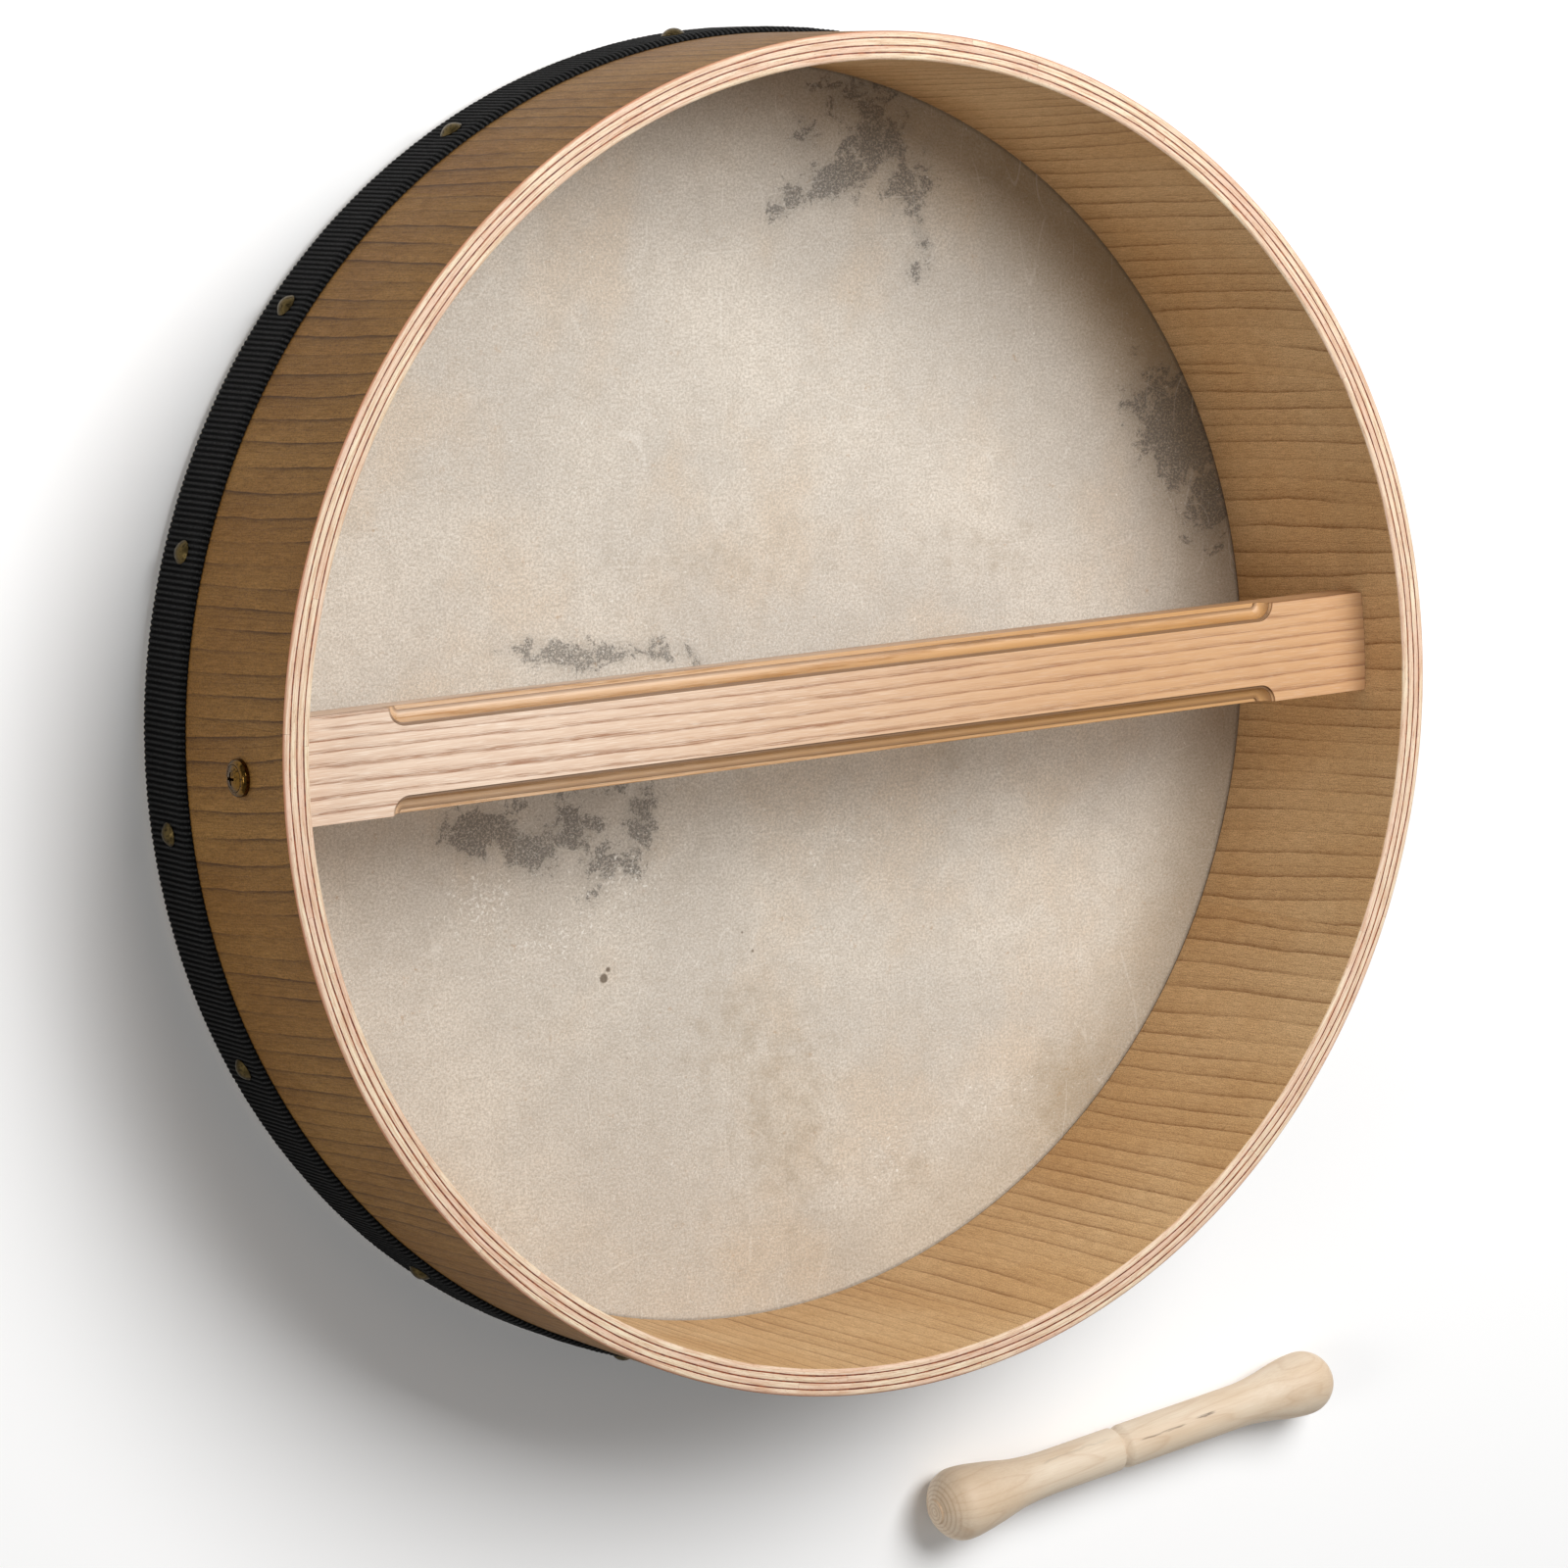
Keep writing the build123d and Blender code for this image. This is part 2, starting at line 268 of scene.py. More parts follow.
def lathe(profile, steps, frame_matrix):
    """A profile of (height, radius) points, turned about the local Z axis and placed by a matrix."""
    points, faces = [], []
    for i in range(steps):
        a = 2 * math.pi * i / steps
        points += [frame_matrix @ Vector((r * math.cos(a), r * math.sin(a), h)) for h, r in profile]
    size = len(profile)
    for i in range(steps):
        here, there = i * size, (i + 1) % steps * size
        faces += [(here + k, there + k, there + k + 1, here + k + 1) for k in range(size - 1)]
    return points, faces


def joined(parts):
    """Several (points, faces) pairs as one."""
    points, faces = [], []
    for more_points, more_faces in parts:
        start = len(points)
        points += more_points
        faces += [tuple(i + start for i in face) for face in more_faces]
    return points, faces


def wall_matrix(angle, radius, height):
    """Local Z points away from the drum's axis at this angle."""
    out = Vector((math.cos(angle), math.sin(angle), 0))
    side = Vector((-out.y, out.x, 0))
    turn = Matrix((side, Vector((0, 0, 1)), out)).transposed().to_4x4()
    return Matrix.Translation(out * radius + Vector((0, 0, height))) @ turn


# ---------------------------------------------------------------- material helpers

def srgb(r, g, b):
    """A screen colour, 0 to 255, as a linear colour."""
    def linear(c):
        c /= 255
        return c / 12.92 if c <= 0.04045 else ((c + 0.055) / 1.055) ** 2.4
    return (linear(r), linear(g), linear(b), 1.0)


class Nodes:
    """A material's node tree, with one short call for each kind of node used here."""

    def __init__(self, name):
        self.material = bpy.data.materials.new(name)
        self.material.use_nodes = True
        self.tree = self.material.node_tree
        self.shader = self.tree.nodes["Principled BSDF"]

    def plug(self, value, socket):
        if isinstance(value, bpy.types.NodeSocket):
            self.tree.links.new(value, socket)
        else:
            socket.default_value = value

    def add(self, kind, inputs, **settings):
        node = self.tree.nodes.new("ShaderNode" + kind)
        for key, value in settings.items():
            setattr(node, key, value)
        for key, value in inputs.items():
            self.plug(value, node.inputs[key])
        return node

    def attribute(self, name, output="Fac"):
        return self.add("Attribute", {}, attribute_name=name).outputs[output]

    def object_mm(self):
        """The piece's own coordinates in millimetres."""
        return self.scaled(self.add("TexCoord", {}).outputs["Object"], (1000, 1000, 1000))

    def scaled(self, vector, scale):
        return self.add("VectorMath", {0: vector, 1: scale}, operation="MULTIPLY").outputs[0]

    def length(self, vector):
        return self.add("VectorMath", {0: vector}, operation="LENGTH").outputs["Value"]

    def split(self, vector):
        return self.add("SeparateXYZ", {0: vector}).outputs

    def noise(self, vector, scale=(1, 1, 1), detail=2.0, roughness=0.5, distortion=0.0, seed=0.0):
        place = self.scaled(vector, scale)
        if seed:
            place = self.add("VectorMath", {0: place, 1: (0, 0, seed)}, operation="ADD").outputs[0]
        inputs = {
            "Vector": place,
            "Scale": 1.0,
            "Detail": detail,
            "Roughness": roughness,
            "Distortion": distortion,
        }
        return self.add("TexNoise", inputs).outputs[0]

    def math(self, operation, a, b=0.0, clamp=False):
        return self.add("Math", {0: a, 1: b}, operation=operation, use_clamp=clamp).outputs[0]

    def step(self, value, low, high, bottom=0.0, top=1.0):
        """A smooth step from bottom to top as the value goes from low to high."""
        inputs = {"Value": value, "From Min": low, "From Max": high, "To Min": bottom, "To Max": top}
        return self.add("MapRange", inputs, interpolation_type="SMOOTHSTEP").outputs[0]

    def ramp(self, value, stops):
        """A curve through (place, height) stops."""
        node = self.add("ValToRGB", {"Fac": value})
        elements = node.color_ramp.elements
        while len(elements) < len(stops):
            elements.new(0.5)
        for element, (place, height) in zip(elements, stops):
            element.position = place
            element.color = (height, height, height, 1)
        return node.outputs["Color"]

    def mix(self, factor, a, b, blend_type="MIX"):
        node = self.add("Mix", {0: factor}, data_type="RGBA", blend_type=blend_type)
        self.plug(a, node.inputs[6])
        self.plug(b, node.inputs[7])
        return node.outputs[2]

    def bump(self, height, distance, strength=1.0, under=None):
        inputs = {"Height": height, "Distance": distance, "Strength": strength}
        if under is not None:
            inputs["Normal"] = under
        return self.add("Bump", inputs).outputs[0]

    def finish(self, **inputs):
        for key, value in inputs.items():
            self.plug(value, self.shader.inputs[key.replace("_", " ")])
        return self.material


def sawn_wood(name, pale, mid, dark, pitch, line):
    """Ring-porous wood. The grain attribute runs across, along and into the grain, in millimetres.
    pitch is the usual distance between growth rings, and line how dark each one is."""
    n = Nodes(name)
    grain = n.attribute("grain", "Vector")
    across = n.split(grain)[0]
    drift = n.noise(grain, (0.011, 0.0026, 0.02), detail=1.0)
    arches = n.noise(grain, (0.016, 0.0070, 0.02), detail=0.0)
    arched = n.step(n.noise(grain, (0.0045, 0.001, 0.02), detail=0.0), 0.56, 0.70, 0.0, 8.0)
    wobble = n.noise(grain, (0.25, 0.030, 0.1), detail=4.0, roughness=0.6)
    count = n.math("ADD", n.math("MULTIPLY", across, 1 / pitch), n.math("MULTIPLY", drift, 4.5))
    count = n.math("ADD", count, n.math("MULTIPLY", arches, arched))
    phase = n.math("FRACT", n.math("ADD", count, n.math("MULTIPLY", wobble, 0.30)))
    ring_line = n.ramp(phase, RING_PROFILE)
    patchy = n.step(n.noise(grain, (0.09, 0.009, 0.1), detail=1.0), 0.30, 0.62, 0.30, 1.0)
    ring_line = n.math("MULTIPLY", ring_line, patchy)
    fibre = n.noise(grain, (2.4, 0.14, 1.0), detail=3.0, roughness=0.65)
    speckle = n.noise(grain, (2.6, 1.4, 1.0), detail=2.0, roughness=0.7)
    pores = n.step(n.noise(grain, (4.0, 0.40, 2.0), detail=1.0), 0.56, 0.66)
    pores = n.math("MULTIPLY", pores, n.math("ADD", ring_line, 0.25))
    cloud = n.noise(grain, (0.020, 0.012, 0.02), detail=3.0)
    colour = n.mix(n.step(cloud, 0.32, 0.68), pale, mid)
    colour = n.mix(n.step(fibre, 0.30, 0.72, 0.0, 0.36), colour, dark)
    colour = n.mix(n.step(speckle, 0.42, 0.68, 0.0, 0.50), colour, dark)
    colour = n.mix(n.math("MULTIPLY", ring_line, line), colour, dark)
    colour = n.mix(n.math("MULTIPLY", pores, 0.6), colour, dark)
    height = n.math("SUBTRACT", fibre, n.math("MULTIPLY", pores, 1.5))
    return n.finish(
        Base_Color=colour,
        Roughness=n.step(fibre, 0.2, 0.8, 0.50, 0.68),
        Normal=n.bump(height, 0.00006, 0.7),
        Specular_IOR_Level=0.18,
    )


def ply_edge_wood():
    """The plies' sanded edges on the rim: pale end grain with fine flecks, stained here and there."""
    n = Nodes("ply_edge")
    grain = n.attribute("grain", "Vector")
    streak = n.noise(grain, (0.09, 0.05, 2.2), detail=4.0, roughness=0.7)
    cloud = n.noise(grain, (0.028, 0.02, 0.30), detail=1.0)
    fleck = n.step(n.noise(grain, (0.55, 0.4, 4.5), detail=3.0, roughness=0.7), 0.60, 0.66)
    stain = n.step(n.noise(grain, (0.045, 0.02, 0.33), detail=3.0, roughness=0.65), 0.66, 0.74)
    colour = n.mix(n.step(cloud, 0.3, 0.7), srgb(232, 216, 188), srgb(224, 194, 172))
    colour = n.mix(n.step(streak, 0.38, 0.68, 0.0, 0.75), colour, srgb(192, 146, 110))
    colour = n.mix(n.math("MULTIPLY", fleck, 0.50), colour, srgb(140, 78, 50))
    colour = n.mix(n.math("MULTIPLY", stain, 0.65), colour, srgb(186, 112, 70))
    colour = n.mix(n.math("MULTIPLY", n.attribute("arris"), 0.85), colour, srgb(186, 116, 82))
    return n.finish(
        Base_Color=colour,
        Roughness=0.6,
        Normal=n.bump(streak, 0.00006, 0.5),
        Specular_IOR_Level=0.3,
    )


def glue_resin():
    """Reddish brown dried glue."""
    n = Nodes("ply_glue")
    spots = n.noise(n.object_mm(), (0.5, 0.5, 0.5), detail=2.0)
    colour = n.mix(n.step(spots, 0.35, 0.7), srgb(102, 44, 24), srgb(150, 82, 48))
    return n.finish(Base_Color=colour, Roughness=0.5)


def goat_hide():
    """Scraped hide: beige-grey, mottled, scratched, with the dark remains of its natural marks."""
    n = Nodes("goat_hide")
    place = n.object_mm()
    broad = n.noise(place, (0.011, 0.013, 0.01), detail=3.0, roughness=0.55)
    warm = n.noise(place, (0.020, 0.017, 0.3), detail=4.0, roughness=0.6)
    fine = n.noise(place, (1.0, 1.0, 1.0), detail=3.0, roughness=0.75)
    mottle = n.noise(place, (0.13, 0.13, 0.2), detail=5.0, roughness=0.7)
    colour = n.mix(n.step(broad, 0.36, 0.64), srgb(204, 197, 187), srgb(220, 212, 200))
    colour = n.mix(n.step(warm, 0.48, 0.70, 0.0, 0.55), colour, srgb(212, 192, 168))
    colour = n.mix(n.step(mottle, 0.40, 0.72, 0.0, 0.34), colour, srgb(178, 168, 154))
    colour = n.mix(n.step(fine, 0.36, 0.64, 0.0, 0.66), colour, srgb(168, 158, 144))
    pale_grain = n.step(n.noise(place, (1.7, 1.7, 1.0), detail=2.0), 0.52, 0.72, 0.0, 0.5)
    colour = n.mix(pale_grain, colour, srgb(232, 226, 216))
    smudge_and_shade = n.attribute("soiled_and_shaded")
    soiled_and_shaded = n.math("ADD", smudge_and_shade, n.math("MULTIPLY", n.math("SUBTRACT", mottle, 0.5), 1.2))
    soiled_and_shaded = n.math("MULTIPLY", n.step(soiled_and_shaded, 0.15, 1.0), n.step(smudge_and_shade, 0.0, 0.3))
    # Smudges, and painted shade along the hide's +X, +Y edge
    colour = n.mix(n.math("MULTIPLY", soiled_and_shaded, 0.42), colour, srgb(158, 140, 114))
    flecks = n.step(n.noise(place, (0.28, 0.28, 0.5), detail=5.0, roughness=0.75), 0.60, 0.70)
    fleck_places = n.step(n.noise(place, (0.03, 0.03, 0.1), detail=2.0), 0.42, 0.62, 0.1, 0.8)
    flecks = n.math("MULTIPLY", flecks, n.math("MAXIMUM", fleck_places, soiled_and_shaded))
    colour = n.mix(n.math("MULTIPLY", flecks, 0.60), colour, srgb(170, 134, 94))
    radius = n.length(n.scaled(place, (1, 1, 0)))
    x, y, z = n.split(place)
    # Painted shade: warm brown near the hide's +X, +Y edge, where the hoop's shadow falls
    painted_edge_shade = n.math("MULTIPLY", n.step(x, -60.0, 170.0, 0.05, 0.36), n.step(y, 0.0, 120.0, 1.0, 1.9))
    painted_edge_shade = n.math("MULTIPLY", painted_edge_shade, n.step(radius, 172.0, 216.0))
    colour = n.mix(painted_edge_shade, colour, srgb(150, 128, 92))
    ragged = n.noise(place, (0.15, 0.15, 0.3), detail=10.0, roughness=0.76, distortion=0.5)
    marked = n.math("MULTIPLY", n.attribute("stain"), 1.12)
    ragged = n.math("ADD", marked, n.math("MULTIPLY", n.math("SUBTRACT", ragged, 0.5), 3.4))
    wash = n.math("MULTIPLY", n.step(marked, 0.10, 1.0), 0.22)
    grit = n.noise(place, (1.1, 1.1, 1.0), detail=4.0, roughness=0.8)
    gaps = n.step(grit, 0.48, 0.60, 1.0, 0.25)
    stain = n.math("MULTIPLY", n.step(ragged, 0.55, 0.85, 0.0, 0.74), n.step(marked, 0.06, 0.30))
    stain = n.math("MULTIPLY", stain, gaps)
    colour = n.mix(n.math("MAXIMUM", wash, stain), colour, srgb(90, 87, 82))
    crackle = n.noise(place, (0.7, 0.7, 1.0), detail=5.0, roughness=0.75, distortion=0.8)
    crackle = n.math("ADD", crackle, n.math("MULTIPLY", n.attribute("scuff"), 0.11))
    colour = n.mix(n.step(crackle, 0.625, 0.70, 0.0, 0.72), colour, srgb(240, 237, 230))
    # Painted shade: a thin dark line on the hide's inner side, next to the hoop's inner wall
    inside = n.math("GREATER_THAN", z, SKIN_T / MM / 2)
    corner = n.math("MULTIPLY", inside, n.step(radius, HIDE_SEEN_R - 1.0, HIDE_SEEN_R - 0.2, 0.0, 0.3))
    colour = n.mix(corner, colour, srgb(84, 66, 46))
    for width, scale, seed in SCRATCHES:
        contour = n.noise(place, (*scale, 0.0), detail=0.6, seed=seed)
        scratch = n.step(n.math("ABSOLUTE", n.math("SUBTRACT", contour, 0.5)), 0.0, width, 1.0, 0.0)
        breaks = n.noise(place, (0.05, 0.05, 0.1), detail=3.0, seed=seed + 5)
        broken = n.step(breaks, 0.50, 0.62, 0.0, 0.20)
        colour = n.mix(n.math("MULTIPLY", scratch, broken), colour, srgb(240, 236, 228))
    blur = n.math("MULTIPLY", mottle, 2.0)
    for spot_x, spot_y, size in SPOTS:
        spot_at = (spot_x, spot_y, SKIN_T / MM)
        away = n.add("VectorMath", {0: place, 1: spot_at}, operation="DISTANCE").outputs["Value"]
        spot = n.step(n.math("ADD", away, blur), size + 0.6, size + 1.5, 0.85, 0.0)
        colour = n.mix(spot, colour, srgb(98, 84, 68))
    height = n.math("ADD", fine, n.math("MULTIPLY", mottle, 0.8))
    return n.finish(
        Base_Color=colour,
        Roughness=n.step(fine, 0.3, 0.7, 0.62, 0.8),
        Normal=n.bump(height, 0.00030, 0.8),
        Specular_IOR_Level=0.3,
    )


def black_webbing():
    """Black yarn, a little dusty on the ribs, with painted shade near black between them."""
    n = Nodes("black_webbing")
    yarn = n.attribute("grain", "Vector")
    twist = n.noise(yarn, (1.3, 2.2, 1.0), detail=3.0, roughness=0.7)
    dust = n.step(n.noise(yarn, (1.0, 1.4, 1.0), detail=2.0), 0.62, 0.74)
    colour = n.mix(n.step(twist, 0.3, 0.75), srgb(14, 14, 14), srgb(60, 60, 60))
    colour = n.mix(n.math("MULTIPLY", dust, 0.35), colour, srgb(80, 80, 78))
    # Painted shade near black in the dips between ribs; the ribs' grey partly stands for highlights
    colour = n.mix(n.step(n.attribute("rib"), 0.30, 0.85), srgb(2, 2, 2), colour)
    return n.finish(
        Base_Color=colour,
        Roughness=0.8,
        Normal=n.bump(twist, 0.00022, 0.9),
        Specular_IOR_Level=0.08,
    )


def brass(name, bright, tarnish, spread, low, high):
    """Metal that has dulled in patches: spread is how much of it, low and high its roughness."""
    n = Nodes(name)
    place = n.object_mm()
    patch = n.noise(place, (0.9, 0.9, 0.9), detail=5.0, roughness=0.7)
    scratch = n.noise(place, (2.5, 9.0, 2.5), detail=2.0)
    dull = n.step(patch, 0.62 - spread, 0.82 - spread)
    return n.finish(
        Base_Color=n.mix(dull, bright, tarnish),
        Metallic=1.0,
        Roughness=n.step(patch, 0.3, 0.7, low, high),
        Normal=n.bump(scratch, 0.00003, 0.35),
    )


def birch():
    """The tipper's wood. Its grain attribute runs across, along and into the grain."""
    n = Nodes("tipper_birch")
    grain = n.attribute("grain", "Vector")
    figure = n.noise(grain, (0.055, 0.004, 0.055), detail=1.0)
    wobble = n.noise(grain, (0.3, 0.03, 0.3), detail=2.0)
    rings = n.math("ADD", n.math("MULTIPLY", figure, 11.0), n.math("MULTIPLY", wobble, 0.4))
    phase = n.math("FRACT", rings)
    ring_line = n.ramp(phase, [(0.0, 0.3), (0.06, 1.0), (0.2, 0.35), (0.6, 0.0), (1.0, 0.25)])
    fibre = n.noise(grain, (2.2, 0.09, 2.2), detail=3.0, roughness=0.6)
    cloud = n.noise(grain, (0.09, 0.02, 0.09), detail=2.0)
    colour = n.mix(n.step(cloud, 0.3, 0.7), srgb(224, 208, 186), srgb(215, 192, 164))
    colour = n.mix(n.math("MULTIPLY", ring_line, 0.30), colour, srgb(184, 148, 112))
    colour = n.mix(n.step(fibre, 0.35, 0.8, 0.0, 0.30), colour, srgb(190, 160, 128))
    across, along, down = n.split(grain)
    away = n.length(n.scaled(grain, (1, 0, 1)))
    away = n.math("ADD", away, n.math("MULTIPLY", fibre, 0.6))
    cut = n.math("SINE", n.math("MULTIPLY", away, TOOL_MARKS))
    turned = n.math("MULTIPLY", n.step(cut, -0.2, 1.0), n.step(along, 1.0, 8.0, 0.38, 0.0))
    colour = n.mix(turned, colour, srgb(164, 124, 84))
    across = n.math("ADD", across, n.math("MULTIPLY", n.noise(grain, (0.2, 0.10, 0.2)), 2.0))
    for start, end, middle, half, strength in STREAKS:
        off = n.math("ABSOLUTE", n.math("SUBTRACT", across, middle))
        near = n.step(off, half * 0.4, half, strength, 0.0)
        for low, high, bottom, top in ((start - 2, start + 2, 0.0, 1.0), (end - 2, end + 2, 1.0, 0.0)):
            near = n.math("MULTIPLY", near, n.step(along, low, high, bottom, top))
        near = n.math("MULTIPLY", near, n.math("LESS_THAN", down, 0.0))
        near = n.math("MULTIPLY", near, n.step(fibre, 0.35, 0.55, 0.3, 1.0))
        colour = n.mix(near, colour, srgb(92, 74, 56))
    return n.finish(
        Base_Color=colour,
        Roughness=n.step(fibre, 0.2, 0.8, 0.46, 0.62),
        Normal=n.bump(fibre, 0.00004, 0.5),
    )


# ---------------------------------------------------------------- hoop

ply_radii = [SHELL_R] + [reach(name)[0] for name in PLY_JOINTS]


def glue_face(boundary, angle, side):
    """Radius of a glue line's outer (side 1) or inner (side -1) face. Boundaries count inwards."""
    middle = ply_radii[boundary] + GLUE_WANDER * wander_round(angle, 26 * MM, 7.3 * boundary)
    thick = GLUE_T * (1 + 0.35 * wander_round(angle, 9 * MM, 3.1 * boundary + 50))
    return middle + side * thick / 2


def ply_section(r_in, r_out, z_high, round_in, round_out):
    """A ply's closed section with its four corners rounded, from the inner foot by the outer side."""
    corners = [
        (r_in + round_in, SKIN_T + round_in, round_in, 180),
        (r_out - round_out, SKIN_T + round_out, round_out, 270),
        (r_out - round_out, z_high - round_out, round_out, 0),
        (r_in + round_in, z_high - round_in, round_in, 90),
    ]
    section = []
    for r, z, radius, start in corners:
        for i in range(ROUND_STEPS + 1):
            turn = math.radians(start + 90 * i / ROUND_STEPS)
            section.append((r + radius * math.cos(turn), z + radius * math.sin(turn)))
    return section


def ply_panel(index, start, end):
    """One bent panel of a ply, from one butt joint to the next."""
    last = len(PLY_JOINTS) - 1
    count = max(3, round((end - start) / PLY_STEP))
    angles = [start + (end - start) * i / count for i in range(count + 1)]
    sections = []
    for angle in angles:
        r_out = SHELL_R if index == 0 else glue_face(index, angle, -1)
        r_in = INNER_R if index == last else glue_face(index + 1, angle, 1)
        top = RIM_Z - RIM_UNEVEN * (1 + wander_round(angle, 14 * MM, 20 + index))
        round_in = RIM_ROUND if index == last else EASED
        round_out = RIM_ROUND if index == 0 else EASED
        sections.append(ply_section(r_in, r_out, top, round_in, round_out))
    return ring(angles, sections, closed=False)


def make_ply(index, name, wall, edge):
    """All the panels of one ply, with veneer on the walls and sanded edges on the rim."""
    joints = [math.radians(j) for j in PLY_JOINTS[name]]
    gap = BUTT_GAP / ply_radii[index]
    panels = [
        ply_panel(index, start + gap / 2, end - gap / 2)
        for start, end in zip(joints, joints[1:] + [joints[0] + 2 * math.pi])
    ]
    points, faces = joined(panels)
    hoop = piece(name + "_veneer", points, faces, "drum", [name], [wall, edge])
    shift = [random.uniform(0, 900) for _ in joints]
    lean = [GRAIN_LEAN.get(name, 0) + random.uniform(-LEAN_SPREAD, LEAN_SPREAD) for _ in joints]
    grain, arris = [], []
    for v in hoop.data.vertices:
        angle = math.atan2(v.co.y, v.co.x) % (2 * math.pi)
        panel = sum(angle >= j for j in joints) - 1
        unwound = angle + (2 * math.pi if panel < 0 else 0)
        r = v.co.xy.length
        across = unwound * SHELL_R / MM + shift[panel] + lean[panel] * v.co.z / MM
        grain.append((across, v.co.z / MM, r / MM + 40 * index))
        arris.append(eased((r - SHELL_R + STAIN_IN) / STAIN_FADE) if v.co.z > RIM_Z / 2 else 0)
    per_vertex(hoop, "grain", grain, "FLOAT_VECTOR")
    per_vertex(hoop, "arris", arris)
    for face in hoop.data.polygons:
        face.material_index = int(face.normal.z > 0.3 and face.center.z > RIM_Z - 2 * RIM_ROUND)


def make_glue_lines(resin):
    """Thin hoops of glue between the plies, a little below the sanded rim."""
    count = round(2 * math.pi / PLY_STEP)
    angles = [2 * math.pi * i / count for i in range(count)]
    hoops = []
    for boundary in range(1, len(PLY_JOINTS)):
        sections = []
        for angle in angles:
            r_in, r_out = glue_face(boundary, angle, -1), glue_face(boundary, angle, 1)
            top = RIM_Z - GLUE_RECESS - RIM_UNEVEN
            sections.append([(r_in, SKIN_T * 2), (r_out, SKIN_T * 2), (r_out, top), (r_in, top)])
        hoops.append(ring(angles, sections, closed=True))
    points, faces = joined(hoops)
    piece("glue_lines", points, faces, "drum", materials=[resin])


# ---------------------------------------------------------------- hide

# Dark marks, in millimetres: place, half sizes, turn in degrees, and strength
DARK_MARKS = [
    (62, 203, 24, 9, 0, 0.7), (66, 188, 14, 10, 20, 1.0), (50, 176, 17, 8, 10, 0.95),
    (30, 170, 13, 6, 25, 0.8), (78, 174, 13, 12, 0, 0.8), (84, 155, 4, 15, 15, 0.75),
    (81, 142, 6, 5, 0, 0.75), (38, 192, 9, 9, 0, 0.6), (55, 152, 22, 5, 0, 0.3),
    (178, 88, 9, 9, 0, 0.85), (194, 76, 17, 24, 20, 1.1), (206, 50, 12, 17, 0, 1.0),
    (-88, 26, 9, 4, 0, 0.65), (-76, 22, 9, 5, 0, 0.85), (-64, 20, 13, 6, -5, 0.95),
    (-50, 20, 12, 5, 0, 0.85), (-34, 19, 13, 4, -5, 0.8), (-14, 17, 14, 2.4, 0, 0.75),
    (-106, -36, 15, 9, 0, 1.1), (-86, -44, 12, 9, -20, 1.0), (-70, -38, 14, 8, 0, 0.95),
    (-58, -52, 10, 9, 0, 0.85), (-42, -38, 7, 13, 0, 1.0), (-45, -54, 6, 6, 0, 0.9),
    (-62, -63, 6, 5, 0, 0.6), (-60, -25, 40, 8, 0, 0.7),
]
# Broad brown smudges, in the same form; the last three are painted shade along the +X, +Y edge
SMUDGES_AND_SHADE = [
    (13, -152, 22, 40, 0, 0.7), (-6, -118, 20, 24, 0, 0.6), (133, -157, 17, 17, 0, 0.9),
    (-5, 46, 52, 20, 8, 0.38), (88, -24, 14, 12, 0, 0.7), (108, 44, 30, 18, 0, 0.35),
    (66, -176, 14, 9, 0, 0.5), (205, 66, 9, 34, 17, 0.9), (176, 128, 12, 40, 36, 0.9),
    (128, 178, 12, 36, 54, 0.7),
]
# Pale scuffs, in the same form
SCUFFS = [
    (-106, -60, 14, 12, 0, 1.0), (-80, -76, 24, 9, 5, 0.8), (-89, -90, 10, 8, 0, 0.5),
    (-48, -60, 14, 14, 0, 0.8), (0, -45, 20, 10, 0, 0.5), (41, -56, 26, 12, 0, 0.5),
    (60, -170, 30, 14, 30, 0.5), (100, -160, 30, 12, 20, 0.4), (-60, 40, 60, 40, 0, 0.25),
]


def marks_at(x, y, marks):
    """How strongly a place on the hide is marked."""
    total = 0.0
    for mark_x, mark_y, half_x, half_y, turn, strength in marks:
        c, s = math.cos(math.radians(turn)), math.sin(math.radians(turn))
        across, along = x - mark_x, y - mark_y
        u, v = (c * across + s * along) / half_x, (c * along - s * across) / half_y
        total = max(total, strength * math.exp(-(u * u + v * v) * 0.7))
    return total


def make_skin(material):
    """The hide: flat across the drum, and turned up round the hoop behind the tape."""
    flat_r = SHELL_R - RIM_ROUND
    outline = [(flat_r * math.sqrt(i / SKIN_ROWS), SKIN_T) for i in range(SKIN_ROWS + 1)]
    bends = [math.radians(270 + 90 * i / ROUND_STEPS) for i in range(ROUND_STEPS + 1)]
    outline += [
        (flat_r + RIM_ROUND * math.cos(b), SKIN_T + RIM_ROUND + RIM_ROUND * math.sin(b))
        for b in bends[1:]
    ]
    outline += [(SHELL_R, COLLAR_TOP), (SKIN_R, COLLAR_TOP)]
    outer_bend = RIM_ROUND + SKIN_T
    outline += [
        (flat_r + outer_bend * math.cos(b), outer_bend + outer_bend * math.sin(b))
        for b in reversed(bends)
    ]
    outline += [(flat_r * math.sqrt(i / FACE_ROWS), 0.0) for i in range(FACE_ROWS - 1, -1, -1)]
    angles = [2 * math.pi * i / SKIN_COLUMNS for i in range(SKIN_COLUMNS)]
    points, faces = ring(angles, [outline] * SKIN_COLUMNS, closed=True)
    skin = piece("goat_skin", points, faces, "drum", ["drum_skin"], [material])
    places = [(v.co.x / MM, v.co.y / MM) for v in skin.data.vertices]
    for name, marks in (("stain", DARK_MARKS), ("scuff", SCUFFS), ("soiled_and_shaded", SMUDGES_AND_SHADE)):
        per_vertex(skin, name, [marks_at(x, y, marks) for x, y in places])


# ---------------------------------------------------------------- edge tape and tacks

